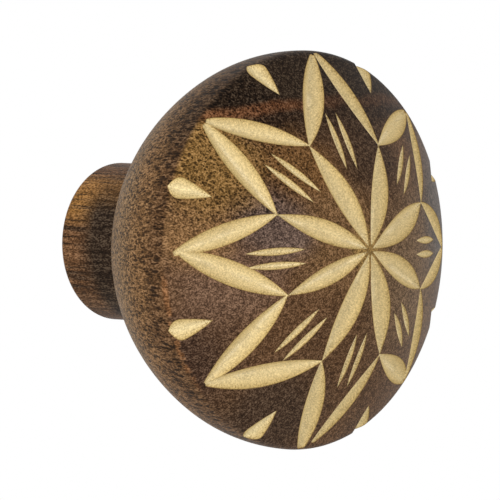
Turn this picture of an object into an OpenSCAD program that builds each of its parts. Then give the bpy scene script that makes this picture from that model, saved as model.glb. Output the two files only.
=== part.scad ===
// Turned wooden furniture knob with a chip-carved rosette on its domed face.
// The knob's axis lies along Y: the mounting face is at Y = 0, the face looks towards -Y, and +Z is up
// as the knob sits on an upright drawer front. The modules draw it standing on Z, and stand() lays it over.

/* [Head] */
// Largest diameter of the head
head_d = 40; // [34:0.5:52]
// Radius of the rounded crown in the middle of the face
crown_r = 20.8; // [16:0.1:40]
// Diameter over which the face keeps the crown's radius
crown_w = 18; // [12:0.5:22]
// Radius of the flatter flank between the crown and the shoulder
flank_r = 47; // [34:0.5:90]
// Rounding of the shoulder, where the face turns into the side
shoulder_r = 1.5; // [0.8:0.1:2.5]
// Radius of the bowl behind the shoulder
bowl_r = 15; // [12:0.5:18]
// Angle that the bowl turns through before it flattens
bowl_turn = 25; // [18:1:32]
// Radius of the flatter hip behind the bowl
hip_r = 23.5; // [20:0.5:30]
// Angle from the widest plane at which the hip turns into the heel
hip_turn = 48; // [40:1:55]
// Radius of the heel that draws the head in to the stem
heel_r = 6; // [4:0.5:8]

/* [Stem] */
// Diameter of the stem
stem_d = 16; // [13:0.5:20]
// Straight length of the stem, from the mounting face to the cove
stem_len = 9.5; // [5:0.5:30]
// Radius of the cove between the stem and the head
cove_r = 1.5; // [0.8:0.1:3]
// Rounding of the edge round the mounting face
base_edge_r = 0.6; // [0.2:0.1:1.5]

/* [Threaded insert] */
// Outside diameter of the brass insert
insert_d = 8; // [6.5:0.5:10]
// Length of the brass insert
insert_len = 10; // [6:0.5:14]
// Core diameter of its machine thread
insert_core_d = 3.3; // [2.4:0.05:4.3]
// Width of the driving slot across its outer end
slot_w = 1.2; // [0.8:0.1:1.6]
// Depth of the driving slot
slot_depth = 1.8; // [1:0.1:3]
// Chamfer at the ends of the insert
insert_chamfer = 0.4; // [0.2:0.1:0.8]
// Gap all round between the insert and the wood
insert_clearance = 0.05; // [0.02:0.01:0.1]
// Depth of the narrower hole that lets a long screw run on behind the insert
runout_len = 5; // [1:0.5:10]
// Diameter of that hole
runout_d = 5; // [4:0.5:6]

/* [Carved rosette] */
// Points of the star, with a pair of slits in each
star_points = 8; // [6:1:10]
// Plain border between the star's points and the widest edge of the head
star_border = 0.9; // [0.6:0.1:3]
// Distance from the middle of the face to the tips of the petals
petal_reach = 11; // [9:0.1:13]
// Distance from the middle of the face to the root of a petal
petal_root = 0.35; // [0.2:0.05:1.5]
// Radius of the stroke that cuts a petal: a smaller one cuts deeper
petal_stroke_r = 45; // [30:1:90]
// Radius of the stroke that cuts a leaf of the star
leaf_stroke_r = 40; // [25:1:90]
// Depth at which the blade stops in the outer end of a leaf, which leaves that end blunt
leaf_stop = 0.2; // [0.05:0.05:0.4]
// Length of a slit, seen square to the face
slit_len = 5.6; // [3:0.1:7]
// Distance between the two slits of a pair
slit_gap = 1.4; // [1:0.05:2]
// How far the middle of a slit lies beyond the line between two petal tips
slit_shift = 0.7; // [-1:0.1:2]
// Radius of the stroke that cuts a slit
slit_stroke_r = 24; // [15:1:60]
// How far a kite reaches in over the face from the widest edge
kite_reach = 3; // [2:0.1:4]
// How far a kite runs on behind the widest plane
kite_drop = 0.35; // [0.1:0.05:1]
// Radius of the stroke that cuts a kite
kite_stroke_r = 40; // [20:1:90]
// Angle between the two walls of a petal, leaf or slit
cut_angle = 100; // [80:1:110]
// Angle between the two walls of a kite
kite_angle = 122; // [100:1:130]
// How far the tips of two neighbouring cuts run past each other
tip_overrun = 0.15; // [0.05:0.05:0.4]
// How much of the carver's unevenness is kept: none gives an even rosette
unevenness = 1; // [0:0.1:1]

/* [Hidden] */
$fa = 3;
$fs = 0.35;

wood = [0.27, 0.18, 0.13];
brass = [0.79, 0.65, 0.33];

// Where the carver's hand strayed, point by point round the star. The middle of the petals strays to the left
// and upwards, a petal's tip outwards and by degrees, the tips of a point's two leaves by a share of the border
// and by degrees, a pair of slits outwards, sideways and by degrees, and a kite by degrees.
hub_stray = [-0.6, 0.4];
petal_stray = [[0, 2.5], [0.2, 2], [1, 4.5], [0.2, 1], [-0.8, -0.5], [0.3, 1.5], [0, -1], [-0.8, 0]];
leaf_stray = [
    [[0, -0.5], [0, -1.5]], [[0.6, -1], [0.25, -1]], [[0.8, -2.5], [0.6, -2]], [[0.75, 3], [0.75, 3]],
    [[0.4, -0.6], [0.1, -2.4]], [[0.5, -4], [0.5, -5]], [[0.9, -2], [0.2, 0]], [[0.55, 1], [0.4, 0]]
];
slit_stray = [
    [-0.4, 0.2, -2], [0.2, 0.3, -2], [0.3, 1.3, 0], [0.4, 0.4, 1],
    [0, 0.2, 4], [-0.1, 0.4, 7], [-0.1, 0, 2], [-0.7, -0.4, 3]
];
kite_stray = [0, -1, -0.5, 2, -1, -1, 0, 0];

// A tighter arc stands proud of the arc it meets by this much, so that the two cross cleanly
lap = 0.002;
// and it runs on past their meeting by this angle
lap_turn = 6;
// A cutting tool stands clear of the surface by this much
clear = 1;

head_r = head_d / 2;
stem_r = stem_d / 2;
step = 360 / star_points;

// Face: the crown meets the flank where the slope is crown_turn, the flank meets the shoulder at flank_turn
crown_turn = asin(crown_w / 2 / crown_r);
flank_w = head_r - shoulder_r - crown_w / 2;
flank_turn = asin((sin(crown_turn) + flank_w / flank_r) / (1 - shoulder_r / flank_r));
crown_drop = crown_r * (1 - cos(crown_turn));
flank_drop = flank_r * (cos(crown_turn) - cos(flank_turn));
dome_h = crown_drop + flank_drop + shoulder_r * cos(flank_turn);

// Centres of the arcs as [radius, height above the widest plane], each in line with its neighbour's
function at(angle) = [cos(angle), sin(angle)];
crown_c = [0, dome_h - crown_r];
flank_c = crown_c - (flank_r - crown_r) * at(90 - crown_turn);
shoulder_c = [head_r - shoulder_r, 0];
bowl_c = [head_r - bowl_r, 0];
hip_c = bowl_c + (bowl_r - hip_r) * at(-bowl_turn);
heel_c = hip_c + (hip_r - heel_r) * at(-hip_turn);
cove_x = stem_r + cove_r;
cove_c = [cove_x, heel_c[1] - sqrt(pow(heel_r + cove_r, 2) - pow(cove_x - heel_c[0], 2))];
heel_turn = atan2(heel_c[1] - cove_c[1], cove_c[0] - heel_c[0]);

widest_z = stem_len - cove_c[1];

// Height of the face above the widest plane, and its slope, at a distance r from the axis
function face_arc(r) = r <= crown_w / 2 ? [crown_c, crown_r]
    : r <= shoulder_c[0] + shoulder_r * sin(flank_turn) ? [flank_c, flank_r]
    : [shoulder_c, shoulder_r];
function face_slope(r) = let (arc = face_arc(r)) asin((r - arc[0][0]) / arc[1]);
function face_z(r) = let (arc = face_arc(r)) arc[0][1] + arc[1] * cos(face_slope(r));

// A point of the plan lifted on to the face, and the way out of the wood there
function on_face(p) = [p[0], p[1], widest_z + face_z(norm(p))];
function face_normal(p) = let (slope = face_slope(norm(p)), way = norm(p) > 0 ? p / norm(p) : [1, 0])
    [way[0] * sin(slope), way[1] * sin(slope), cos(slope)];

// A cut as [first tip, last tip, way out of the wood, radius of the stroke, angle between its walls, how far the
// stroke runs on past the last tip], where a stop puts the last tip below the face and ends the stroke there
function face_cut(a, b, stroke_r, stop = 0) = [
    on_face(a), on_face(b) - stop * face_normal(b), face_normal((a + b) / 2), stroke_r, cut_angle,
    stop > 0 ? 0 : clear
];

// How far the hand strayed at one point of the star
function stray(list, i) = unevenness * list[i % len(list)];

// Tips in the plan, moved sideways by aside
function petal_tip(i, aside = 0) = let (off = stray(petal_stray, i), bearing = (i + 0.5) * step + off[1])
    (petal_reach + off[0]) * at(bearing) + aside * at(bearing + 90);
function star_tip(i, side, aside) =
    let (off = stray(leaf_stray, i)[side < 0 ? 0 : 1], bearing = i * step + off[1])
    (head_r - star_border * (1 - off[0])) * at(bearing) + aside * at(bearing + 90);

function petal(i) =
    let (hub = unevenness * hub_stray, tip = petal_tip(i), along = (tip - hub) / norm(tip - hub))
    face_cut(hub + petal_root * along, tip + tip_overrun * along, petal_stroke_r);

// Each leaf runs a little past the petal's tip, and ends on its own side of the star's point
function leaf(i, side) = let (aside = side * tip_overrun, neighbour = side < 0 ? i + star_points - 1 : i)
    face_cut(petal_tip(neighbour % star_points, aside), star_tip(i, side, aside), leaf_stroke_r, leaf_stop);

function slit(i, side) =
    let (off = stray(slit_stray, i), bearing = i * step, heading = bearing + off[2])
    let (out = petal_reach * cos(step / 2) + slit_shift + off[0])
    let (mid = out * at(bearing) + off[1] * at(bearing + 90) + side * slit_gap / 2 * at(heading + 90))
    face_cut(mid - slit_len / 2 * at(heading), mid + slit_len / 2 * at(heading), slit_stroke_r);

// A kite crosses the shoulder, so it leaves the wood square to its own chord
function kite(i) =
    let (bearing = (i + 0.5) * step + stray(kite_stray, i), r = head_r - kite_reach)
    let (behind = sqrt(pow(bowl_r, 2) - pow(kite_drop, 2)))
    let (a = [r, widest_z + face_z(r)], b = [bowl_c[0] + behind, widest_z - kite_drop])
    let (out = [a[1] - b[1], b[0] - a[0]])
    [for (p = [a, b, out]) [p[0] * cos(bearing), p[0] * sin(bearing), p[1]], kite_stroke_r, kite_angle, clear];

cuts = [
    for (i = [0:star_points - 1]) each [
        petal(i), leaf(i, -1), leaf(i, 1), slit(i, -1), slit(i, 1), kite(i)
    ]
];

// Lays a shape that stands on Z over, so that it looks towards -Y
module stand() {
    rotate([90, 0, 0]) children();
}

// The part of a disc between two angles, drawn from the middle of the head
module slice(centre, radius, from, to) {
    reach = 1.5;
    rim = [for (angle = [from, (from + to) / 2, to]) centre + radius * at(angle)];
    translate([0, widest_z]) intersection() {
        translate(centre) circle(radius);
        polygon(concat([[0, 0]], [for (p = rim) reach * p]));
    }
}

// Half of the knob's section: the arcs of the head, the stem between them and the axis, and the cove cut out
module section() {
    heel_end = heel_c + heel_r * at(-heel_turn);
    base_r = stem_r - base_edge_r;
    difference() {
        union() {
            slice(crown_c, crown_r + lap, 90, 90 - crown_turn - lap_turn);
            slice(flank_c, flank_r, 90 - crown_turn, 90 - flank_turn);
            slice(shoulder_c, shoulder_r + lap, 90 - flank_turn + lap_turn, -lap_turn);
            slice(bowl_c, bowl_r + lap, 0, -bowl_turn - lap_turn);
            slice(hip_c, hip_r, -bowl_turn, -hip_turn);
            slice(heel_c, heel_r + lap, -hip_turn + lap_turn, -heel_turn - lap_turn);
            polygon([
                [0, 0], [base_r, 0], [stem_r, base_edge_r], [stem_r, stem_len],
                [cove_c[0], stem_len], heel_end + [0, widest_z], [0, widest_z]
            ]);
            translate([base_r, base_edge_r]) circle(base_edge_r);
        }
        translate([cove_c[0], stem_len]) circle(cove_r + lap);
    }
}

// The knob as it comes off the lathe
module turned_blank() {
    rotate_extrude() section();
}

// The stroke of a V-shaped blade, whose edge follows an arc from one tip of a cut to the other
module stroke(cut) {
    chord = cut[1] - cut[0];
    along = chord / norm(chord);
    leaning = cut[2] - (cut[2] * along) * along;
    out = leaning / norm(leaning);
    across = cross(along, out);
    half = norm(chord) / 2;
    radius = cut[3];
    middle = (cut[0] + cut[1]) / 2 + sqrt(pow(radius, 2) - pow(half, 2)) * out;
    run_in = asin((half + clear) / radius);
    run_out = asin((half + cut[5]) / radius);
    height = 2 * clear;
    half_width = height * tan(cut[4] / 2);
    multmatrix([for (k = [0:2]) [along[k], out[k], across[k], middle[k]]])
        rotate([0, 0, -90 - run_in])
            rotate_extrude(angle = run_in + run_out)
                polygon([[radius, 0], [radius - height, half_width], [radius - height, -half_width]]);
}

// The blank with the first of the cuts made, one after another
module carved(count) {
    if (count == 0) turned_blank();
    else difference() {
        carved(count - 1);
        stroke(cuts[count - 1]);
    }
}

module knob_body() {
    pocket_r = insert_d / 2 + insert_clearance;
    color(wood) stand() difference() {
        carved(len(cuts));
        translate([0, 0, -clear]) cylinder(r = pocket_r, h = clear + insert_len);
        cylinder(d = runout_d, h = insert_len + runout_len);
    }
}

module threaded_insert() {
    color(brass) stand() difference() {
        rotate_extrude() polygon([
            [insert_core_d / 2, 0],
            [insert_d / 2 - insert_chamfer, 0],
            [insert_d / 2, insert_chamfer],
            [insert_d / 2, insert_len - insert_chamfer],
            [insert_d / 2 - insert_chamfer, insert_len],
            [insert_core_d / 2, insert_len]
        ]);
        translate([-insert_d, -slot_w / 2, -clear]) cube([2 * insert_d, slot_w, clear + slot_depth]);
    }
}

knob_body();
threaded_insert();
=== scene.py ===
"""Dresses a turned wooden furniture knob: its carved body, its brass insert, the studio and the camera.

Sizes are millimetres in the frame of the lathe, where the knob stands on its mounting face and the axis is
height. lay_over() turns that frame so that the carved face looks towards -Y, and gives metres.
"""

from __future__ import annotations

import logging
import math
from dataclasses import dataclass
from enum import Enum
from typing import Any, Sequence

import bpy
import numpy as np
from mathutils import Matrix, Vector

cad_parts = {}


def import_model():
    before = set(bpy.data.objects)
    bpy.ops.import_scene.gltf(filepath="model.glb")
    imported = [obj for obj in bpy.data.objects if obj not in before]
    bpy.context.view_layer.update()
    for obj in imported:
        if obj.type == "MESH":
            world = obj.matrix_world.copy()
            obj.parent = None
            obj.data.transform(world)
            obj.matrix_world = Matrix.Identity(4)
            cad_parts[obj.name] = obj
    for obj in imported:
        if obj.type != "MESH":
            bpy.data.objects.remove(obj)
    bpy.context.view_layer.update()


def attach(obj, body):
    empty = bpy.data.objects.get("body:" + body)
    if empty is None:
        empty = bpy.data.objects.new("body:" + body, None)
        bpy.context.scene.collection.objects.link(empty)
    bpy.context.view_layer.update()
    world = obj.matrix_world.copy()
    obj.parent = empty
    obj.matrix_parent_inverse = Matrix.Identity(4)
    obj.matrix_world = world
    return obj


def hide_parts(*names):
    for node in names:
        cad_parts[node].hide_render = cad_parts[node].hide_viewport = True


LOG = logging.getLogger("knob")
MM = 0.001
BODY = "root"
CUT_DEPTH = "cut_depth"
CUT_SHARE = "cut_share"
RISE = "rise"
UNCUT = -0.1
DEEPEST_CUT = 2.0
TINY = 1e-4
ANGLE_SLACK = 1e-3

Array = np.ndarray
Socket = bpy.types.NodeSocket
Tone = tuple[int, int, int]


class Slot(Enum):
    """Names for a wood slot and a brass slot."""

    WOOD = "stained_wood"
    BRASS = "brass"


def linear(tone: Tone) -> tuple[float, float, float, float]:
    """Turns a colour in sRGB bytes into the linear colour that a socket takes.

    Args:
        tone: Red, green and blue from 0 to 255.

    Returns:
        The linear colour with an alpha of 1.
    """
    parts = [c / 255 for c in tone]
    bent = [c / 12.92 if c <= 0.04045 else ((c + 0.055) / 1.055) ** 2.4 for c in parts]
    return (*bent, 1.0)


def at(angle: float) -> Array:
    """Gives the unit vector at an angle in degrees."""
    return np.array([math.cos(math.radians(angle)), math.sin(math.radians(angle))])


def lay_over(points: Array) -> Array:
    """Turns points of the lathe's frame so that the face looks towards -Y, in metres."""
    return np.stack([points[..., 0], -points[..., 2], points[..., 1]], axis=-1) * MM


def new_object(name: str, points: Array, faces: list[list[int]]) -> bpy.types.Object:
    """Makes a smooth mesh object of points in the lathe's frame.

    Args:
        name: Name of the object and of its mesh.
        points: Array of x, y and z in millimetres.
        faces: Corners of each face, outwards.

    Returns:
        The object, linked to the scene and sitting at the origin.
    """
    mesh = bpy.data.meshes.new(name)
    mesh.from_pydata(lay_over(points.reshape(-1, 3)).tolist(), [], faces)
    mesh.polygons.foreach_set("use_smooth", np.ones(len(mesh.polygons), dtype=bool))
    mesh.update()
    piece = bpy.data.objects.new(name, mesh)
    bpy.context.scene.collection.objects.link(piece)
    return piece


def skin(rows: int, columns: int, closed_rows: bool) -> Array:
    """Lists the quads of a grid of points whose columns run all the way round.

    Args:
        rows: Points along the outline.
        columns: Points round each ring.
        closed_rows: Whether the last row joins on to the first.

    Returns:
        One row of four corners for each quad, outwards where the outline has the solid on its right.
    """
    strips = rows if closed_rows else rows - 1
    row, column = np.meshgrid(np.arange(strips), np.arange(columns), indexing="ij")
    below, beside = (row + 1) % rows, (column + 1) % columns
    here, under = row * columns, below * columns
    quads = [here + column, under + column, under + beside, here + beside]
    return np.stack(quads, axis=-1).reshape(-1, 4)


def corners_in(mesh: bpy.types.Mesh) -> Array:
    """Lists the vertices that the corners of a mesh's faces stand on.

    Args:
        mesh: Any mesh.

    Returns:
        One vertex for each corner, in the mesh's own order.
    """
    vertices = np.empty(len(mesh.loops), dtype=np.int32)
    mesh.loops.foreach_get("vertex_index", vertices)
    return vertices


def carve(piece: bpy.types.Object, tools: Sequence[bpy.types.Object]) -> None:
    """Takes tools out of a piece, one after another, and deletes the tools.

    Args:
        piece: The object that is cut. Its mesh is replaced.
        tools: Closed meshes.
    """
    for tool in tools:
        cut = piece.modifiers.new("cut", "BOOLEAN")
        cut.operation = "DIFFERENCE"
        cut.solver = "MANIFOLD"
        cut.object = tool
    solid = bpy.data.meshes.new_from_object(piece.evaluated_get(bpy.context.evaluated_depsgraph_get()))
    piece.modifiers.clear()
    blank, piece.data = piece.data, solid
    solid.name = piece.name
    bpy.data.meshes.remove(blank)
    for tool in tools:
        bpy.data.meshes.remove(tool.data)


@dataclass(frozen=True)
class Arc:
    """An arc of the turned outline: centre + radius * (cos angle, sin angle), from start to end.

    The angles are in degrees.
    """

    centre: Array
    radius: float
    start: float
    end: float

    def points(self, spacing: float) -> Array:
        """Spaces points along the arc.

        Args:
            spacing: Largest distance between two points.

        Returns:
            Array of radius and height, from start to end.
        """
        length = self.radius * math.radians(abs(self.end - self.start))
        angles = np.radians(np.linspace(self.start, self.end, max(4, math.ceil(length / spacing)) + 1))
        return self.centre + self.radius * np.stack([np.cos(angles), np.sin(angles)], axis=-1)

    def depth(self, points: Array) -> Array:
        """Measures how far points lie inside the arc.

        Args:
            points: Array of radius and height.

        Returns:
            The radius less the distance from the centre, and infinity for points outside the arc's fan.
        """
        away = points - self.centre
        angle = np.degrees(np.arctan2(away[:, 1], away[:, 0]))
        within = (angle <= self.start + ANGLE_SLACK) & (angle >= self.end - ANGLE_SLACK)
        return np.where(within, self.radius - np.linalg.norm(away, axis=1), np.inf)


@dataclass(frozen=True)
class Turning:
    """The outline that the knob gets on the lathe, a chain of arcs that meet smoothly."""

    head_d: float = 40.0
    crown_r: float = 20.8
    crown_w: float = 18.0
    flank_r: float = 47.0
    shoulder_r: float = 1.5
    bowl_r: float = 15.0
    bowl_turn: float = 25.0
    hip_r: float = 23.5
    hip_turn: float = 48.0
    heel_r: float = 6.0
    stem_d: float = 16.0
    stem_len: float = 9.5
    cove_r: float = 1.5
    base_edge_r: float = 0.6
    pocket_r: float = 4.05
    pocket_len: float = 10.0
    runout_r: float = 2.5
    runout_len: float = 5.0

    @property
    def head_r(self) -> float:
        """Largest radius of the head."""
        return self.head_d / 2

    @property
    def stem_r(self) -> float:
        """Radius of the stem."""
        return self.stem_d / 2

    @property
    def crown_turn(self) -> float:
        """Slope at which the crown meets the flank, in degrees."""
        return math.degrees(math.asin(self.crown_w / 2 / self.crown_r))

    @property
    def flank_turn(self) -> float:
        """Slope at which the flank meets the shoulder.

        Returns:
            The slope in degrees, at which the flank's run across reaches the shoulder.
        """
        run = (self.head_r - self.shoulder_r - self.crown_w / 2) / self.flank_r
        slope = (math.sin(math.radians(self.crown_turn)) + run) / (1 - self.shoulder_r / self.flank_r)
        return math.degrees(math.asin(slope))

    @property
    def dome_h(self) -> float:
        """Height of the face's middle above the widest plane."""
        crown, flank = math.cos(math.radians(self.crown_turn)), math.cos(math.radians(self.flank_turn))
        return self.crown_r * (1 - crown) + self.flank_r * (crown - flank) + self.shoulder_r * flank

    def head_arcs(self) -> list[Arc]:
        """Gives the arcs of the head from the middle of the face to the stem, about the widest plane.

        Returns:
            Crown, flank, shoulder, bowl, hip, heel and cove. Each centre lies in line with its neighbour's.
        """
        crown_c = np.array([0.0, self.dome_h - self.crown_r])
        flank_c = crown_c - (self.flank_r - self.crown_r) * at(90 - self.crown_turn)
        shoulder_c = np.array([self.head_r - self.shoulder_r, 0.0])
        bowl_c = np.array([self.head_r - self.bowl_r, 0.0])
        hip_c = bowl_c + (self.bowl_r - self.hip_r) * at(-self.bowl_turn)
        heel_c = hip_c + (self.hip_r - self.heel_r) * at(-self.hip_turn)
        cove_x = self.stem_r + self.cove_r
        fall = math.sqrt((self.heel_r + self.cove_r) ** 2 - (cove_x - heel_c[0]) ** 2)
        cove_c = np.array([cove_x, heel_c[1] - fall])
        heel_turn = math.degrees(math.atan2(fall, cove_x - heel_c[0]))
        return [
            Arc(crown_c, self.crown_r, 90, 90 - self.crown_turn),
            Arc(flank_c, self.flank_r, 90 - self.crown_turn, 90 - self.flank_turn),
            Arc(shoulder_c, self.shoulder_r, 90 - self.flank_turn, 0),
            Arc(bowl_c, self.bowl_r, 0, -self.bowl_turn),
            Arc(hip_c, self.hip_r, -self.bowl_turn, -self.hip_turn),
            Arc(heel_c, self.heel_r, -self.hip_turn, -heel_turn),
            Arc(cove_c, self.cove_r, 180 - heel_turn, 180),
        ]

    @property
    def widest_z(self) -> float:
        """Height of the widest plane above the mounting face."""
        return self.stem_len - self.head_arcs()[-1].centre[1]

    def face(self, r: float) -> tuple[float, float]:
        """Finds the carved face at a distance from the axis.

        Args:
            r: Distance from the axis.

        Returns:
            Height above the mounting face, and slope in degrees.
        """
        crown, flank, shoulder = self.head_arcs()[:3]
        flank_end = shoulder.centre[0] + self.shoulder_r * math.sin(math.radians(self.flank_turn))
        arc = crown if r <= self.crown_w / 2 else flank if r <= flank_end else shoulder
        slope = math.asin((r - arc.centre[0]) / arc.radius)
        return self.widest_z + arc.centre[1] + arc.radius * math.cos(slope), math.degrees(slope)

    def outline(self, spacing: float) -> Array:
        """Lists the outline from the middle of the face round to the end of the screw hole.

        Args:
            spacing: Largest distance between points on the arcs and the stem.

        Returns:
            Array of radius and height, with no point twice, and with both ends on the axis.
        """
        lift = np.array([0.0, self.widest_z])
        arcs = [arc.points(spacing) + lift for arc in self.head_arcs()]
        edge_c = np.array([self.stem_r - self.base_edge_r, self.base_edge_r])
        edge = Arc(edge_c, self.base_edge_r, 0, -90).points(spacing / 4)
        stem = np.linspace([self.stem_r, self.stem_len], edge[0], math.ceil(self.stem_len / spacing))[1:-1]
        hole = np.array([
            [self.pocket_r, 0], [self.pocket_r, self.pocket_len],
            [self.runout_r, self.pocket_len], [self.runout_r, self.pocket_len + self.runout_len],
            [0, self.pocket_len + self.runout_len],
        ])
        chain = np.concatenate([arcs[0]] + [arc[1:] for arc in arcs[1:]] + [stem, edge, hole])
        chain[0, 0] = 0.0
        return chain

    def depth(self, points: Array) -> Array:
        """Measures how far points of the head lie below its turned surface.

        Args:
            points: Array of x, y and height in millimetres.

        Returns:
            The depth below the nearest arc of the head.
        """
        lathe = np.stack([np.hypot(points[:, 0], points[:, 1]), points[:, 2] - self.widest_z], axis=-1)
        return np.min([arc.depth(lathe) for arc in self.head_arcs()[:4]], axis=0)


@dataclass(frozen=True)
class Cut:
    """One stroke of a V-shaped blade, whose edge follows an arc from one tip of the cut to the other."""

    first: Array
    last: Array
    out: Array
    stroke_r: float
    angle: float
    run_on: float = 1.0

    def blade(self, name: str, clear: float = 1.0, steps: int = 40) -> bpy.types.Object:
        """Builds the wedge that the stroke sweeps.

        The point at angle t and radius q is middle + q * (along * sin t - out * cos t), where the blade's
        edge is at the stroke's radius and its back is a little nearer to the middle, to both sides.

        Args:
            name: Name of the object.
            clear: How far the wedge stands clear of the wood.
            steps: Sections along the stroke.

        Returns:
            A closed mesh object.
        """
        chord = self.last - self.first
        half = np.linalg.norm(chord) / 2
        along = chord / np.linalg.norm(chord)
        leaning = self.out - (self.out @ along) * along
        out = leaning / np.linalg.norm(leaning)
        across = np.cross(along, out)
        middle = (self.first + self.last) / 2 + math.sqrt(self.stroke_r ** 2 - half ** 2) * out
        run_in = math.asin((half + clear) / self.stroke_r)
        run_out = math.asin((half + self.run_on) / self.stroke_r)
        height = 2 * clear
        width = height * math.tan(math.radians(self.angle / 2))
        turn = np.linspace(-run_in, run_out, steps + 1)[:, None]
        ray = along * np.sin(turn) - out * np.cos(turn)
        edge = middle + self.stroke_r * ray
        back = middle + (self.stroke_r - height) * ray
        points = np.stack([edge, back + width * across, back - width * across], axis=1)
        sides = skin(steps + 1, 3, closed_rows=False).tolist()
        end = 3 * steps
        wedge = new_object(name, points, sides + [[0, 1, 2], [end, end + 2, end + 1]])
        rise = wedge.data.attributes.new(RISE, "FLOAT", "CORNER")
        rise.data.foreach_set("value", np.where(corners_in(wedge.data) % 3, height, 0).astype(np.float32))
        return wedge


@dataclass(frozen=True)
class Stray:
    """How far the carver's hand strayed from the even pattern, point by point round the star."""

    hub: tuple[float, float] = (-0.6, 0.4)
    leaf_out: tuple[tuple[float, float], ...] = (
        (0.0, 0.0), (0.6, 0.25), (0.8, 0.6), (0.75, 0.75), (0.4, 0.1), (0.5, 0.5), (0.9, 0.2), (0.55, 0.4))
    leaf_turn: tuple[tuple[float, float], ...] = (
        (-0.5, -1.5), (-1.0, -1.0), (-2.5, -2.0), (3.0, 3.0),
        (-0.6, -2.4), (-4.0, -5.0), (-2.0, 0.0), (1.0, 0.0))
    petal_out: tuple[float, ...] = (0.0, 0.2, 1.0, 0.2, -0.8, 0.3, 0.0, -0.8)
    petal_turn: tuple[float, ...] = (2.5, 2.0, 4.5, 1.0, -0.5, 1.5, -1.0, 0.0)
    slit_out: tuple[float, ...] = (-0.4, 0.2, 0.3, 0.4, 0.0, -0.1, -0.1, -0.7)
    slit_aside: tuple[float, ...] = (0.2, 0.3, 1.3, 0.4, 0.2, 0.4, 0.0, -0.4)
    slit_tilt: tuple[float, ...] = (-2.0, -2.0, 0.0, 1.0, 4.0, 7.0, 2.0, 3.0)
    kite_turn: tuple[float, ...] = (0.0, -1.0, -0.5, 2.0, -1.0, -1.0, 0.0, 0.0)


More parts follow.
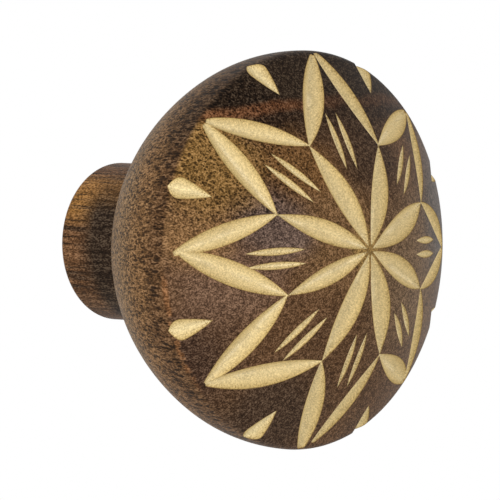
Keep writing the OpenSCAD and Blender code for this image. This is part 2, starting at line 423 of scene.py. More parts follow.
@dataclass(frozen=True)
class Rosette:
    """The chip-carved star: petals, leaves, pairs of slits and kites, repeated round the face."""

    turning: Turning
    points: int = 8
    star_border: float = 0.9
    petal_reach: float = 11.0
    petal_root: float = 0.35
    petal_stroke_r: float = 45.0
    leaf_stroke_r: float = 40.0
    leaf_stop: float = 0.2
    slit_len: float = 5.6
    slit_gap: float = 1.4
    slit_shift: float = 0.7
    slit_stroke_r: float = 24.0
    kite_reach: float = 3.0
    kite_drop: float = 0.35
    kite_stroke_r: float = 40.0
    cut_angle: float = 100.0
    kite_angle: float = 122.0
    tip_overrun: float = 0.15
    stray: Stray = Stray()

    @property
    def step(self) -> float:
        """Angle from one point of the star to the next."""
        return 360 / self.points

    def on_face(self, flat: Array) -> Array:
        """Lifts a point of the plan on to the face."""
        return np.array([*flat, self.turning.face(float(np.linalg.norm(flat)))[0]])

    def face_normal(self, flat: Array) -> Array:
        """Finds the way out of the wood.

        Args:
            flat: A point of the plan.

        Returns:
            The unit normal of the face there.
        """
        r = float(np.linalg.norm(flat))
        slope = math.radians(self.turning.face(r)[1])
        return np.array([*(flat / r * math.sin(slope)), math.cos(slope)])

    def face_cut(self, first: Array, last: Array, stroke_r: float, stop: float = 0.0) -> Cut:
        """Makes a cut between two points of the plan, square to the face in between.

        Args:
            first: Where the blade starts.
            last: Where it ends.
            stroke_r: Radius of the stroke.
            stop: Depth at which the stroke ends. At 0 it runs on out of the wood.

        Returns:
            The cut.
        """
        ends = self.on_face(first), self.on_face(last) - stop * self.face_normal(last)
        out = self.face_normal((first + last) / 2)
        return Cut(*ends, out, stroke_r, self.cut_angle, 0.0 if stop else Cut.run_on)

    def petal_bearing(self, i: int) -> float:
        """Bearing of a petal's tip."""
        return (i + 0.5) * self.step + self.stray.petal_turn[i]

    def petal_tip(self, i: int) -> Array:
        """Plan of a petal's tip."""
        return (self.petal_reach + self.stray.petal_out[i]) * at(self.petal_bearing(i))

    def petal(self, i: int) -> Cut:
        """Makes a petal, from the hub outwards.

        Args:
            i: Which petal, counted round the star.

        Returns:
            The cut.
        """
        hub, tip = np.array(self.stray.hub), self.petal_tip(i)
        along = (tip - hub) / np.linalg.norm(tip - hub)
        root, end = hub + self.petal_root * along, tip + self.tip_overrun * along
        return self.face_cut(root, end, self.petal_stroke_r)

    def leaf(self, i: int, side: int) -> Cut:
        """Makes a leaf, from a petal's tip to a point of the star.

        Args:
            i: Which point of the star.
            side: -1 for the leaf before the point, and 1 for the leaf after it.

        Returns:
            The cut.
        """
        aside = side * self.tip_overrun
        neighbour = (i + (side - 1) // 2) % self.points
        inner = self.petal_tip(neighbour) + aside * at(self.petal_bearing(neighbour) + 90)
        which = (side + 1) // 2
        bearing = i * self.step + self.stray.leaf_turn[i][which]
        reach = self.turning.head_r - self.star_border * (1 - self.stray.leaf_out[i][which])
        outer = reach * at(bearing) + aside * at(bearing + 90)
        return self.face_cut(inner, outer, self.leaf_stroke_r, self.leaf_stop)

    def slit(self, i: int, side: int) -> Cut:
        """Makes one slit of the pair inside a point of the star.

        Args:
            i: Which point of the star.
            side: -1 for the slit before the point, and 1 for the slit after it.

        Returns:
            The cut.
        """
        bearing = i * self.step
        even_out = self.petal_reach * math.cos(math.radians(self.step / 2)) + self.slit_shift
        out = even_out + self.stray.slit_out[i]
        middle = out * at(bearing) + self.stray.slit_aside[i] * at(bearing + 90)
        heading = bearing + self.stray.slit_tilt[i]
        middle = middle + side * self.slit_gap / 2 * at(heading + 90)
        half = self.slit_len / 2 * at(heading)
        return self.face_cut(middle - half, middle + half, self.slit_stroke_r)

    def kite(self, i: int) -> Cut:
        """Makes a kite, which crosses the shoulder and leaves the wood square to its own chord.

        Args:
            i: Which gap between two points of the star.

        Returns:
            The cut.
        """
        turned = self.turning
        inner_r = turned.head_r - self.kite_reach
        outer_r = turned.head_r - turned.bowl_r + math.sqrt(turned.bowl_r ** 2 - self.kite_drop ** 2)
        inner = np.array([inner_r, turned.face(inner_r)[0]])
        outer = np.array([outer_r, turned.widest_z - self.kite_drop])
        out = np.array([inner[1] - outer[1], outer[0] - inner[0]])
        spoke = at((i + 0.5) * self.step + self.stray.kite_turn[i])
        ends = [np.array([*(p[0] * spoke), p[1]]) for p in (inner, outer, out)]
        return Cut(*ends, self.kite_stroke_r, self.kite_angle)

    def cuts(self) -> list[Cut]:
        """Lists every cut, point by point of the star.

        Returns:
            A petal, two leaves, two slits and a kite for each point.
        """
        return [
            cut for i in range(self.points)
            for cut in (self.petal(i), self.leaf(i, -1), self.leaf(i, 1), self.slit(i, -1), self.slit(i, 1),
                        self.kite(i))
        ]


class Graph:
    """A material's nodes, with short calls for the kinds that the finishes use."""

    def __init__(self, name: str) -> None:
        """Starts a material with a bare Principled shader.

        Args:
            name: Name of the material.
        """
        self.material = bpy.data.materials.new(name)
        self.material.use_nodes = True
        self.tree = self.material.node_tree
        self.shader = self.tree.nodes["Principled BSDF"]
        place = self.node("ShaderNodeTexCoord").outputs["Object"]
        self.place = self.vector("SCALE", place, factor=1 / MM)

    def node(self, kind: str, **settings: Any) -> bpy.types.Node:
        """Adds a node.

        Args:
            kind: Name of the node's type.
            settings: Properties to set on it.

        Returns:
            The node.
        """
        made = self.tree.nodes.new(kind)
        for key, value in settings.items():
            setattr(made, key, value)
        return made

    def feed(self, target: Socket, value: Any) -> None:
        """Links a socket to a target, or sets the target to a plain value.

        Args:
            target: Input of a node.
            value: A socket, or a value of the input's own kind.
        """
        if isinstance(value, Socket):
            self.tree.links.new(value, target)
        else:
            target.default_value = value

    def vector(self, operation: str, a: Any, b: Any = None, factor: float | None = None) -> Socket:
        """Adds a sum, product, scaling or length of vectors.

        Args:
            operation: Name of the operation.
            a: First vector.
            b: Second vector, where there is one.
            factor: What a scaling multiplies by.

        Returns:
            The vector, or the number for a length.
        """
        made = self.node("ShaderNodeVectorMath", operation=operation)
        self.feed(made.inputs[0], a)
        if b is not None:
            self.feed(made.inputs[1], b)
        if factor is not None:
            made.inputs["Scale"].default_value = factor
        return made.outputs["Value" if operation == "LENGTH" else "Vector"]

    def math(self, operation: str, a: Any, b: Any = None) -> Socket:
        """Adds a sum on one or two numbers.

        Args:
            operation: Name of the operation.
            a: First number.
            b: Second number, where there is one.

        Returns:
            The result.
        """
        made = self.node("ShaderNodeMath", operation=operation)
        self.feed(made.inputs[0], a)
        if b is not None:
            self.feed(made.inputs[1], b)
        return made.outputs[0]

    def times(self, a: Any, b: Any) -> Socket:
        """Multiplies two numbers."""
        return self.math("MULTIPLY", a, b)

    def step(self, value: Any, low: float, high: float, start: float = 0.0, end: float = 1.0) -> Socket:
        """Adds a smooth step.

        Args:
            value: The number that is looked at.
            low: Where the step begins. It may be the larger of the two.
            high: Where the step ends.
            start: The result before the step.
            end: The result after it.

        Returns:
            The result.
        """
        made = self.node("ShaderNodeMapRange", interpolation_type="SMOOTHSTEP")
        for target, number in zip(made.inputs, (value, low, high, start, end)):
            self.feed(target, number)
        return made.outputs[0]

    def mix(self, factor: Any, a: Any, b: Any, blend: str = "MIX") -> Socket:
        """Adds a mix of two colours.

        Args:
            factor: Share of the second colour.
            a: First colour, a socket or an sRGB tone.
            b: Second colour, likewise.
            blend: Name of the way they mix.

        Returns:
            The colour.
        """
        made = self.node("ShaderNodeMix", data_type="RGBA", blend_type=blend)
        self.feed(made.inputs["Factor"], factor)
        for name, colour in (("A", a), ("B", b)):
            target = next(s for s in made.inputs if s.name == name and s.type == "RGBA")
            self.feed(target, colour if isinstance(colour, Socket) else linear(colour))
        return next(s for s in made.outputs if s.type == "RGBA")

    def ramp(self, factor: Any, stops: Sequence[tuple[float, Tone]]) -> Socket:
        """Adds a colour ramp.

        Args:
            factor: Place on the ramp.
            stops: Places from 0 to 1, with an sRGB tone for each.

        Returns:
            The colour.
        """
        made = self.node("ShaderNodeValToRGB")
        elements = made.color_ramp.elements
        while len(elements) < len(stops):
            elements.new(1.0)
        for element, (position, tone) in zip(elements, stops):
            element.position = position
            element.color = linear(tone)
        self.feed(made.inputs[0], factor)
        return made.outputs[0]

    def stretched(self, x: float, y: float, z: float) -> Socket:
        """Gives the place in millimetres, times a factor along each axis."""
        return self.vector("MULTIPLY", self.place, (x, y, z))

    def noise(self, place: Socket, scale: float, detail: float = 2.0, roughness: float = 0.5) -> Socket:
        """Adds a soft noise.

        Args:
            place: Where it is read.
            scale: How fine it is.
            detail: Layers of finer noise.
            roughness: How strong the finer layers are.

        Returns:
            A number from 0 to 1.
        """
        made = self.node("ShaderNodeTexNoise")
        self.feed(made.inputs["Vector"], place)
        made.inputs["Scale"].default_value = scale
        made.inputs["Detail"].default_value = detail
        made.inputs["Roughness"].default_value = roughness
        return made.outputs["Fac"]

    def cells(self, place: Socket, scale: float) -> Socket:
        """Scatters points, one to a cell.

        Args:
            place: Where the cells are read.
            scale: How many cells there are to a millimetre.

        Returns:
            The distance from the nearest point, as a share of a cell.
        """
        made = self.node("ShaderNodeTexVoronoi")
        self.feed(made.inputs["Vector"], place)
        made.inputs["Scale"].default_value = scale
        return made.outputs["Distance"]

    def bump(self, height: Socket, distance: float, strength: float) -> None:
        """Feeds a height to the shader's normal.

        Args:
            height: The height, as a share of the distance.
            distance: Height of the bumps in millimetres.
            strength: How strongly they show.
        """
        made = self.node("ShaderNodeBump")
        made.inputs["Strength"].default_value = strength
        made.inputs["Distance"].default_value = distance * MM
        self.feed(made.inputs["Height"], height)
        self.feed(self.shader.inputs["Normal"], made.outputs["Normal"])


@dataclass(frozen=True)
class Pool:
    """A soft patch of one colour on the face, round a point of the plan."""

    x: float
    z: float
    core: float
    reach: float
    tone: Tone


@dataclass(frozen=True)
class StainedWood:
    """Dark stained hardwood with its grain along the axis, and pale bare wood in the carved cuts, with a
    painted cool grey sheen on the far right of the face and a painted highlight along the crease of the
    cuts.
    """

    face_tone: Tone = (83, 58, 37)
    pools: tuple[Pool, ...] = (
        Pool(8.0, -2.0, 3.0, 12.0, (96, 75, 54)),
        # Painted sheen: this cool grey pool on the far right of the face stands in for the grazing
        # reflection there.
        Pool(17.0, 3.0, 3.0, 10.0, (72, 63, 57)),
        Pool(-4.0, 2.0, 3.5, 7.5, (95, 69, 43)),
        Pool(-11.0, 3.0, 1.5, 5.5, (84, 67, 58)),
        Pool(-15.0, -3.0, 2.0, 6.0, (89, 66, 50)),
        Pool(-18.0, 2.8, 1.5, 5.0, (108, 79, 49)),
        Pool(-18.0, -12.0, 3.0, 7.5, (58, 40, 29)),
        Pool(-7.0, -17.0, 3.0, 8.0, (58, 42, 30)),
        Pool(2.0, 9.8, 2.0, 6.0, (55, 38, 25)),
        Pool(-7.5, 9.5, 2.0, 5.5, (94, 65, 35)),
        Pool(-15.8, 9.6, 3.0, 6.6, (112, 83, 44)),
        Pool(-0.6, 0.4, 0.5, 3.0, (128, 101, 57)),
    )
    under: Tone = (40, 26, 16)
    night: Tone = (35, 24, 15)
    ring: Tone = (94, 58, 34)
    side_dark: Tone = (80, 56, 34)
    side_tan: Tone = (97, 70, 42)
    side_back: Tone = (100, 76, 48)
    stem_dark: Tone = (37, 26, 17)
    stem_brown: Tone = (88, 60, 37)
    stem_gold: Tone = (122, 85, 42)
    wear: Tone = (104, 70, 42)
    dust: Tone = (150, 134, 112)
    cut_edge: Tone = (120, 94, 52)
    cut_shallow: Tone = (184, 157, 99)
    cut_wall: Tone = (210, 186, 132)
    cut_deep: Tone = (222, 203, 155)
    crease_highlight: Tone = (240, 226, 190)
    speck: Tone = (132, 105, 60)
    ring_middle: tuple[float, float] = (2.0, -104.0)
    ring_r: float = 119.0
    dots_middle: tuple[float, float] = (-14.5, 11.0)
    smooth_roughness: float = 0.45
    cut_roughness: float = 0.85
    gloss: float = 0.03
    sheen: float = 0.01
    sheen_roughness: float = 0.4
    sheen_tint: tuple[float, float, float, float] = (0.8, 0.9, 1.0, 1.0)
    pore_depth: float = 0.03

    def material(self, turning: Turning) -> bpy.types.Material:
        """Builds the material.

        Args:
            turning: The outline that tells the face from the side and the stem.

        Returns:
            The material, for a mesh with the depth of its cuts in attributes of its corners.
        """
        g = Graph("stained_wood")
        parts = g.node("ShaderNodeSeparateXYZ")
        g.feed(parts.inputs[0], g.place)
        x, y, z = parts.outputs
        drift = g.noise(g.stretched(0.16, 0.03, 0.16), 1.0, 3.0, 0.6)
        behind = g.math("ADD", y, turning.widest_z)
        on_face = g.step(behind, 0.15, -0.65)
        on_stem = g.step(y, -turning.stem_len - 1.8, -turning.stem_len)
        head = g.mix(on_face, self.side(g, behind, z, drift), self.face(g, x, drift))
        head = g.mix(self.worn(g, x, behind, z), head, self.wear)
        zone = g.mix(on_stem, head, self.stem(g, y, z, drift))
        dotted = g.step(self.near(g, *self.dots_middle), 12.0, 6.0, 0.2, 1.0)
        off_face = g.step(on_face, 1.0, 0.0, 0.0, 0.9)
        off_stem = g.step(on_stem, 0.0, 1.0, 1.0, 0.35)
        grain, pores = self.grain(g, g.math("MAXIMUM", dotted, g.times(off_face, off_stem)))
        wood = g.mix(1.0, zone, grain, "MULTIPLY")
        wood = g.mix(g.step(grain, 1.1, 2.3, 0.0, 0.14), wood, self.dust)
        wood = g.mix(self.cracked(g, behind), wood, self.night)
        cut, wall = self.cut(g)
        g.feed(g.shader.inputs["Base Color"], g.mix(cut, wood, wall))
        g.feed(g.shader.inputs["Roughness"], g.step(cut, 0, 1, self.smooth_roughness, self.cut_roughness))
        g.shader.inputs["Specular IOR Level"].default_value = self.gloss
        g.shader.inputs["Sheen Weight"].default_value = self.sheen
        g.shader.inputs["Sheen Roughness"].default_value = self.sheen_roughness
        g.shader.inputs["Sheen Tint"].default_value = self.sheen_tint
        g.bump(g.times(pores, -1.0), self.pore_depth, 0.5)
        return g.material

    def near(self, g: Graph, x: float, z: float) -> Socket:
        """Measures the distance from a line along the axis through a point of the plan."""
        across = g.vector("MULTIPLY", g.vector("SUBTRACT", g.place, (x, 0, z)), (1, 0, 1))
        return g.vector("LENGTH", across)

    def face(self, g: Graph, x: Socket, drift: Socket) -> Socket:
        """Colours the end grain of the face: soft pools, one of them a painted cool grey sheen on the far
        right, and a dark zone beyond a growth ring.

        Args:
            g: The material's nodes.
            x: Place across the face.
            drift: A slow noise.

        Returns:
            The colour.
        """
        sway = g.times(g.math("SUBTRACT", drift, 0.5), 6.0)
        even_ring = g.math("SUBTRACT", self.near(g, *self.ring_middle), self.ring_r)
        ring = g.math("ADD", even_ring, g.times(sway, 0.4))
        zone = g.mix(g.step(drift, 0.35, 0.65, 0.0, 0.3), self.face_tone, self.stem_dark)
        for pool in self.pools:
            spread = g.math("ADD", self.near(g, pool.x, pool.z), sway)
            zone = g.mix(g.step(spread, pool.reach, pool.core), zone, pool.tone)
        zone = g.mix(g.times(g.step(ring, -4.5, -0.8), g.step(x, -13.0, -8.0)), zone, self.under)
        zone = g.mix(g.step(ring, 0.0, 0.7), zone, self.night)
        line = g.times(g.step(g.math("ABSOLUTE", ring), 0.9, 0.1), g.step(x, 2.0, -10.0, 0.2, 0.8))
        return g.mix(line, zone, self.ring)

    def side(self, g: Graph, behind: Socket, z: Socket, drift: Socket) -> Socket:
        """Colours the side and the back of the head, darkest just behind the widest plane.

        Args:
            g: The material's nodes.
            behind: Distance behind the widest plane.
            z: Height above the knob's axis as it hangs.
            drift: A slow noise.

        Returns:
            The colour.
        """
        sway = g.times(g.math("SUBTRACT", drift, 0.5), 3.0)
        place = g.math("ADD", g.math("ADD", behind, sway), g.step(z, -3.0, -9.0, 0.0, -1.3))
        zone = g.mix(g.step(place, 0.8, 3.5), self.side_dark, self.side_tan)
        zone = g.mix(g.step(place, 3.5, 8.0), zone, self.side_back)
        dim = g.times(g.step(z, 7.0, 14.0), g.step(place, 8.0, 0.5, 0.1, 0.65))
        return g.mix(dim, zone, self.night)

    def cracked(self, g: Graph, behind: Socket) -> Socket:
        """Tells where long pores lie open along the grain, just behind the widest plane.

        Args:
            g: The material's nodes.
            behind: Distance behind the widest plane.

        Returns:
            How dark they are, from 0 to 1.
        """
        long = g.step(g.cells(g.stretched(1, 0.3, 1), 1.9), 0.38, 0.22)
        band = g.times(g.step(behind, -0.4, 0.4), g.step(behind, 3.5, 1.5))
        some = g.step(g.noise(g.stretched(0.35, 0.1, 0.35), 1.0), 0.38, 0.55, 0.45, 0.95)
        return g.times(g.times(long, band), some)

    def worn(self, g: Graph, x: Socket, behind: Socket, z: Socket) -> Socket:
        """Tells where the stain has worn off the shoulder, in a broken line low on the left.

        Args:
            g: The material's nodes.
            x: Place across the face.
            behind: Distance behind the widest plane.
            z: Height above the knob's axis as it hangs.

        Returns:
            How worn the wood is, from 0 to 1.
        """
        band = g.step(g.math("ABSOLUTE", g.math("ADD", behind, 0.3)), 0.5, 0.15)
        stretch = g.times(g.step(z, -1.0, -3.0), g.step(z, -14.0, -11.0))
        broken = g.step(g.noise(g.stretched(0.9, 0.3, 0.9), 1.0, 3.0, 0.6), 0.4, 0.52)
        left = g.times(broken, g.step(x, -8.0, -12.0))
        return g.times(g.times(band, stretch), left)

    def stem(self, g: Graph, y: Socket, z: Socket, drift: Socket) -> Socket:
        """Colours the stem with streaks along the axis, dark close to the head and gold towards its end.

        Args:
            g: The material's nodes.
            y: Place along the axis, 0 at the mounting face.
            z: Height above the knob's axis as it hangs.
            drift: A slow noise.

        Returns:
            The colour.
        """
        streak = g.noise(g.stretched(0.5, 0.04, 0.5), 1.0, 3.0, 0.6)
        from_gold = g.math("ABSOLUTE", g.math("SUBTRACT", z, 4.5))
        gold = g.math("ADD", from_gold, g.times(streak, 4.0))
        zone = g.mix(g.step(gold, 5.0, 2.5), self.stem_brown, self.stem_gold)
        shade = g.math("ADD", y, g.times(g.math("SUBTRACT", drift, 0.5), 3.0))
        dark = g.times(g.step(shade, -1.5, -5.0), g.step(z, 7.5, 3.0, 0.3, 1.0))
        lines = g.step(g.noise(g.stretched(2.2, 0.08, 2.2), 1.0, 2.0, 0.6), 0.52, 0.62, 0.0, 0.8)
        dark = g.math("MAXIMUM", g.math("MAXIMUM", dark, lines), g.step(z, -2.5, -6.0, 0.0, 0.4))
        return g.mix(dark, zone, self.stem_dark)

    def grain(self, g: Graph, dotted: Socket) -> tuple[Socket, Socket]:
        """Makes the fine grain that all stained wood shows.

        Args:
            g: The material's nodes.
            dotted: How strongly the pores show.

        Returns:
            A grey near 1 that the wood's colour is multiplied by, and where the pores are.
        """
        streak = g.step(g.noise(g.stretched(1, 0.08, 1), 2.6, 2.0, 0.6), 0.35, 0.65, 0.7, 1.3)
        fleck = g.step(g.noise(g.stretched(1, 0.45, 1), 7.5, 1.0), 0.32, 0.7, 0.5, 1.8)
        big = g.step(g.cells(g.stretched(1, 0.25, 1), 2.1), 0.38, 0.2)
        small = g.step(g.cells(g.stretched(1, 0.36, 1), 3.4), 0.48, 0.24)
        where = g.step(g.noise(g.stretched(0.5, 0.1, 0.5), 1.0), 0.3, 0.5, 0.5, 1.0)
        pores = g.times(g.math("MAXIMUM", big, g.times(small, where)), dotted)
        grey = g.times(g.times(streak, fleck), g.step(pores, 0, 1, 1.16, 0.3))
        return grey, pores

    def cut(self, g: Graph) -> tuple[Socket, Socket]:
        """Colours the carved walls by how deep they lie in their own cut, and paints a pale highlight along
        the crease.

        Args:
            g: The material's nodes.

        Returns:
            Where the walls are, and their colour.
        """
        depth = g.node("ShaderNodeAttribute", attribute_name=CUT_DEPTH).outputs["Fac"]
        mask = g.step(depth, -0.02, -0.005)
        share = g.node("ShaderNodeAttribute", attribute_name=CUT_SHARE).outputs["Fac"]
        wall = g.ramp(share, [(0.0, self.cut_shallow), (0.35, self.cut_wall), (0.85, self.cut_deep)])
        wall = g.mix(g.step(depth, 0.07, 0.0, 0.0, 0.85), wall, self.cut_edge)
        grit = g.step(g.noise(g.place, 5.5, 3.0, 0.7), 0.3, 0.7, 0.76, 1.2)
        drift = g.noise(g.place, 0.3, 2.0)
        layers = g.math("ADD", g.times(share, 1.5), g.times(drift, 8.0))
        fibre = g.noise(layers, 3.0, 2.0, 0.7)
        # Painted highlight: a pale line along the crease of each cut, fading out towards the rim.
        crease = g.times(g.step(share, 0.7, 1.0), g.step(drift, 0.42, 0.6, 0.05, 0.55))
        crease = g.times(crease, g.step(self.near(g, 0.0, 0.0), 16.5, 18.5, 1.0, 0.15))
        wall = g.mix(crease, wall, self.crease_highlight)
        wall = g.mix(1.0, wall, g.times(grit, g.step(fibre, 0.3, 0.7, 0.86, 1.12)), "MULTIPLY")
        edge_grit = g.step(depth, 0.5, 0.0, 0.08, 0.9)
        specks = g.times(g.step(g.noise(g.place, 7.0), 0.52, 0.66), edge_grit)
        return mask, g.mix(specks, wall, self.speck)


@dataclass(frozen=True)
class Brass:
    """Machined brass, a little dulled."""

    bright: Tone = (214, 176, 96)
    dull: Tone = (160, 122, 62)
    bright_roughness: float = 0.25
    dull_roughness: float = 0.45

    def material(self) -> bpy.types.Material:
        """Builds the material, with fine turning marks and a patchy tarnish.

        Returns:
            The material.
        """
        g = Graph("insert_brass")
        tarnish = g.step(g.noise(g.place, 0.6, 4.0, 0.6), 0.4, 0.7)
        g.feed(g.shader.inputs["Base Color"], g.mix(tarnish, self.bright, self.dull))
        g.shader.inputs["Metallic"].default_value = 1.0
        roughness = g.step(tarnish, 0, 1, self.bright_roughness, self.dull_roughness)
        g.feed(g.shader.inputs["Roughness"], roughness)
        g.bump(g.noise(g.stretched(0.3, 9.0, 0.3), 2.0), 0.01, 0.3)
        return g.material


@dataclass(frozen=True)
class KnobBody:
    """The turned and carved body of the knob."""

    turning: Turning
    rosette: Rosette
    finish: StainedWood
    spacing: float = 0.35
    sides: int = 256
    crease: float = 14.0

    def blank(self) -> bpy.types.Object:
        """Turns the outline: (r, h) goes to (r cos t, r sin t, h) for angles t all the way round.

        Returns:
            A closed mesh object whose two poles are single points.
        """
        chain = self.turning.outline(self.spacing)
        rings, poles = chain[1:-1], chain[[0, -1]]
        turn = np.linspace(0, 2 * math.pi, self.sides, endpoint=False)
        r, h = rings[:, :1], rings[:, 1:]
        grid = np.stack([r * np.cos(turn), r * np.sin(turn), h + 0 * turn], axis=-1).reshape(-1, 3)
        points = np.concatenate([grid, [[0, 0, poles[0, 1]], [0, 0, poles[1, 1]]]])
        quads = skin(len(rings), self.sides, closed_rows=False)
        here = np.arange(self.sides)
        beside = np.roll(here, -1)
        last = (len(rings) - 1) * self.sides
        top = np.stack([np.full(self.sides, len(grid)), here, beside], axis=-1)
        floor = np.stack([np.full(self.sides, len(grid) + 1), last + beside, last + here], axis=-1)
        return new_object("carved_knob_body", points, quads.tolist() + top.tolist() + floor.tolist())

    def build(self) -> bpy.types.Object:
        """Turns the blank, carves the rosette and dresses the body.

        Returns:
            The finished piece, in place of its plain node.
        """
        piece = self.blank()
        piece.data.materials.append(self.finish.material(self.turning))
        blades = [cut.blade(f"blade_{i}") for i, cut in enumerate(self.rosette.cuts())]
        for blade in blades:
            faces = blade.data.polygons
            faces.foreach_set("material_index", np.ones(len(faces), dtype=np.int32))
        carve(piece, blades)
        self.mark_cuts(piece.data)
        piece.data.set_sharp_from_angle(angle=math.radians(self.crease))
        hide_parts("knob_body")
        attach(piece, BODY)
        return piece

    def mark_cuts(self, mesh: bpy.types.Mesh) -> None:
        """Writes to the corners of the carved faces their depth below the turned surface.

        A second attribute tells how deep in its own cut a corner is, from 0 at the rim to 1 at the crease.

        Args:
            mesh: The carved mesh, whose carved faces have the blades' material index.
        """
        points = np.empty(len(mesh.vertices) * 3)
        mesh.vertices.foreach_get("co", points)
        points = points.reshape(-1, 3) / MM
        depth = self.turning.depth(np.stack([points[:, 0], points[:, 2], -points[:, 1]], axis=-1))
        index = np.empty(len(mesh.polygons), dtype=np.int32)
        mesh.polygons.foreach_get("material_index", index)
        sizes = np.empty(len(mesh.polygons), dtype=np.int32)
        mesh.polygons.foreach_get("loop_total", sizes)
        carved = np.repeat(index == 1, sizes)
        LOG.info("carved faces: %d of %d", int((index == 1).sum()), len(index))
        rise = np.empty(len(mesh.loops), dtype=np.float32)
        mesh.attributes[RISE].data.foreach_get("value", rise)
        below = np.clip(depth[corners_in(mesh)], 0, DEEPEST_CUT)
        share = below / np.maximum(below + rise, TINY)
        for name, values in ((CUT_DEPTH, np.where(carved, below, UNCUT)), (CUT_SHARE, share)):
            attribute = mesh.attributes.new(name, "FLOAT", "CORNER")
            attribute.data.foreach_set("value", values.astype(np.float32))
        mesh.polygons.foreach_set("material_index", np.zeros(len(index), dtype=np.int32))


@dataclass(frozen=True)
class ThreadedInsert:
    """The slotted brass insert that takes the fixing screw."""

    outside_d: float = 8.0
    length: float = 10.0
    core_d: float = 3.3
    thread_d: float = 4.0
    pitch: float = 0.7
    chamfer: float = 0.4
    slot_w: float = 1.2
    slot_depth: float = 1.8
    sides: int = 96
    steps: int = 144
    crease: float = 30.0
    finish: Brass = Brass()

    def build(self) -> bpy.types.Object:
        """Builds the insert.

        The bore's radius at angle t and height h is the core's radius plus the thread's depth times a
        triangle wave of h / pitch - t / turn, which fades out at both ends. The outside is turned from a
        chamfered outline, and a bar across the outer end is cut away for the driver.

        Returns:
            The finished piece, in place of its plain node.
        """
        turn = np.linspace(0, 2 * math.pi, self.sides, endpoint=False)
        rise = np.linspace(self.length, 0, self.steps + 1)[:, None]
        wave = np.abs((rise / self.pitch - turn / (2 * math.pi)) % 1 * 2 - 1)
        fade = np.clip(np.minimum(rise, self.length - rise) / self.pitch, 0, 1)
        bore = self.core_d / 2 + (self.thread_d - self.core_d) / 2 * wave * fade
        shell_r, end = self.outside_d / 2, self.chamfer
        shell = np.array([
            [shell_r - end, 0], [shell_r, end], [shell_r, self.length - end], [shell_r - end, self.length],
        ])
        r = np.concatenate([np.broadcast_to(shell[::-1, :1], (4, self.sides)), bore[::-1]])
        h = np.concatenate([shell[::-1, 1:], rise[::-1]]) + 0 * turn
        points = np.stack([r * np.cos(turn), r * np.sin(turn), h], axis=-1)
        faces = skin(len(r), self.sides, closed_rows=True).tolist()
        piece = new_object("slotted_brass_insert", points, faces)
        carve(piece, [self.slot_bar()])
        piece.data.set_sharp_from_angle(angle=math.radians(self.crease))
        piece.data.materials.clear()
        piece.data.materials.append(self.finish.material())
        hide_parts("threaded_insert")
        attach(piece, BODY)
        return piece

    def slot_bar(self) -> bpy.types.Object:
        """Makes the bar that the driving slot takes away.

        Returns:
            A closed mesh object.
        """
        reach, half = self.outside_d, self.slot_w / 2
        ring = np.array([[-reach, -half], [reach, -half], [reach, half], [-reach, half]])
        points = np.stack([np.column_stack([ring, np.full(4, level)]) for level in (-1.0, self.slot_depth)])
        walls = skin(2, 4, closed_rows=False)[:, ::-1].tolist()
        return new_object("slot_bar", points, walls + [[3, 2, 1, 0], [4, 5, 6, 7]])


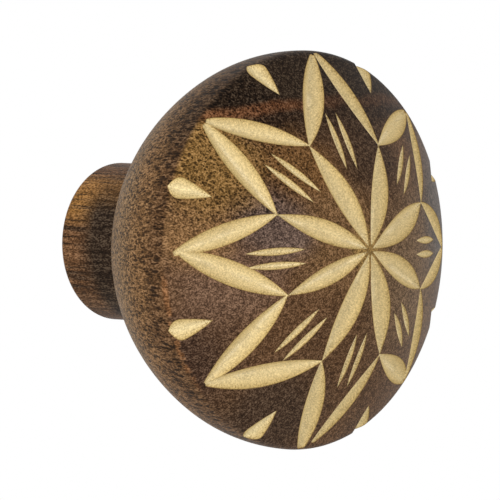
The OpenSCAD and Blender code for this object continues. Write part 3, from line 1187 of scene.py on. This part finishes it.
@dataclass(frozen=True)
class Studio:
    """The pale floor, the soft light and the camera."""

    aim: tuple[float, float, float] = (0.0, -26.4, 0.0)
    azimuth: float = 45.7
    elevation: float = 2.93
    distance: float = 901.0
    scale_px: float = 9.9885
    centre_px: tuple[float, float] = (301.5, 250.15)
    frame_px: float = 500.0
    sensor: float = 36.0
    floor_level: float = -120.0
    floor_size: float = 700.0
    sky: float = 0.88
    key: float = 2.6
    key_size: float = 450.0
    key_place: tuple[float, float, float] = (-450.0, 0.0, 560.0)
    fill: float = 0.35
    fill_size: float = 500.0
    fill_place: tuple[float, float, float] = (560.0, 0.0, 450.0)
    far_clip: float = 10.0
    floor_tones: tuple[Tone, Tone] = ((236, 236, 235), (243, 243, 242))
    floor_roughness: float = 0.9

    def view(self) -> Matrix:
        """Turns the view's axes into the frame.

        Returns:
            The axes as columns: right, up and towards the camera.
        """
        a, e = math.radians(self.azimuth), math.radians(self.elevation)
        towards = Vector((-math.sin(a) * math.cos(e), -math.cos(a) * math.cos(e), math.sin(e)))
        right = Vector((math.cos(a), -math.sin(a), 0))
        return Matrix((right, towards.cross(right), towards)).transposed()

    def camera(self) -> None:
        """Places the camera so that the widest plane's middle falls on its place in the picture."""
        axes = self.view()
        offset = [(self.frame_px / 2 - c) / self.scale_px for c in self.centre_px]
        aim = Vector(self.aim) + axes @ Vector((offset[0], -offset[1], 0))
        lens = bpy.data.cameras.new("camera")
        lens.sensor_width = self.sensor
        lens.lens = self.sensor * self.distance * self.scale_px / self.frame_px
        lens.clip_end = self.far_clip
        camera = bpy.data.objects.new("camera", lens)
        spot = (aim + axes @ Vector((0, 0, self.distance))) * MM
        camera.matrix_world = Matrix.Translation(spot) @ axes.to_4x4()
        bpy.context.scene.collection.objects.link(camera)
        bpy.context.scene.camera = camera

    def lamp(self, name: str, offset: tuple[float, float, float], size: float, power: float) -> None:
        """Hangs a square soft lamp and aims it at the knob.

        Args:
            name: Name of the lamp.
            offset: Its place from the knob along the view's right, up and towards.
            size: Its width in millimetres.
            power: Its power in watts.
        """
        light = bpy.data.lights.new(name, "AREA")
        light.size = size * MM
        light.energy = power
        lamp = bpy.data.objects.new(name, light)
        lamp.location = (Vector(self.aim) + self.view() @ Vector(offset)) * MM
        way = lamp.location - Vector(self.aim) * MM
        lamp.rotation_euler = way.to_track_quat("Z", "Y").to_euler()
        bpy.context.scene.collection.objects.link(lamp)

    def sky_light(self) -> None:
        """Surrounds the knob with white, which is full white where it is looked at and softer as light."""
        world = bpy.data.worlds.new("studio")
        world.use_nodes = True
        tree = world.node_tree
        background = tree.nodes["Background"]
        background.inputs["Color"].default_value = (1, 1, 1, 1)
        path = tree.nodes.new("ShaderNodeLightPath")
        seen = path.outputs["Is Camera Ray"]
        for name in ("Is Glossy Ray", "Is Transmission Ray"):
            either = tree.nodes.new("ShaderNodeMath")
            either.operation = "MAXIMUM"
            tree.links.new(seen, either.inputs[0])
            tree.links.new(path.outputs[name], either.inputs[1])
            seen = either.outputs[0]
        strength = tree.nodes.new("ShaderNodeMapRange")
        strength.inputs["To Min"].default_value = self.sky
        tree.links.new(seen, strength.inputs["Value"])
        tree.links.new(strength.outputs[0], background.inputs["Strength"])
        bpy.context.scene.world = world

    def floor(self) -> None:
        """Lays a pale floor below the knob."""
        half = self.floor_size / 2
        corners = np.array([[-half, -half], [half, -half], [half, half], [-half, half]])
        mesh = bpy.data.meshes.new("floor")
        points = np.column_stack([corners, np.full(4, self.floor_level)]) * MM
        mesh.from_pydata(points.tolist(), [], [[0, 1, 2, 3]])
        floor = bpy.data.objects.new("floor", mesh)
        bpy.context.scene.collection.objects.link(floor)
        g = Graph("pale_floor")
        g.feed(g.shader.inputs["Base Color"], g.mix(g.noise(g.place, 0.02), *self.floor_tones))
        g.shader.inputs["Roughness"].default_value = self.floor_roughness
        mesh.materials.append(g.material)

    def build(self) -> None:
        """Sets up the floor, the light and the camera."""
        self.floor()
        self.sky_light()
        self.lamp("key", self.key_place, self.key_size, self.key)
        self.lamp("fill", self.fill_place, self.fill_size, self.fill)
        self.camera()
        bpy.context.scene.view_settings.view_transform = "Standard"


def main() -> None:
    """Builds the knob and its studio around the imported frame."""
    logging.basicConfig(level=logging.INFO, format="%(name)s: %(message)s")
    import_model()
    turning = Turning()
    for maker in (KnobBody(turning, Rosette(turning), StainedWood()), ThreadedInsert()):
        piece = maker.build()
        LOG.info("%s: %d faces", piece.name, len(piece.data.polygons))
    Studio().build()


if __name__ == "__main__":
    main()
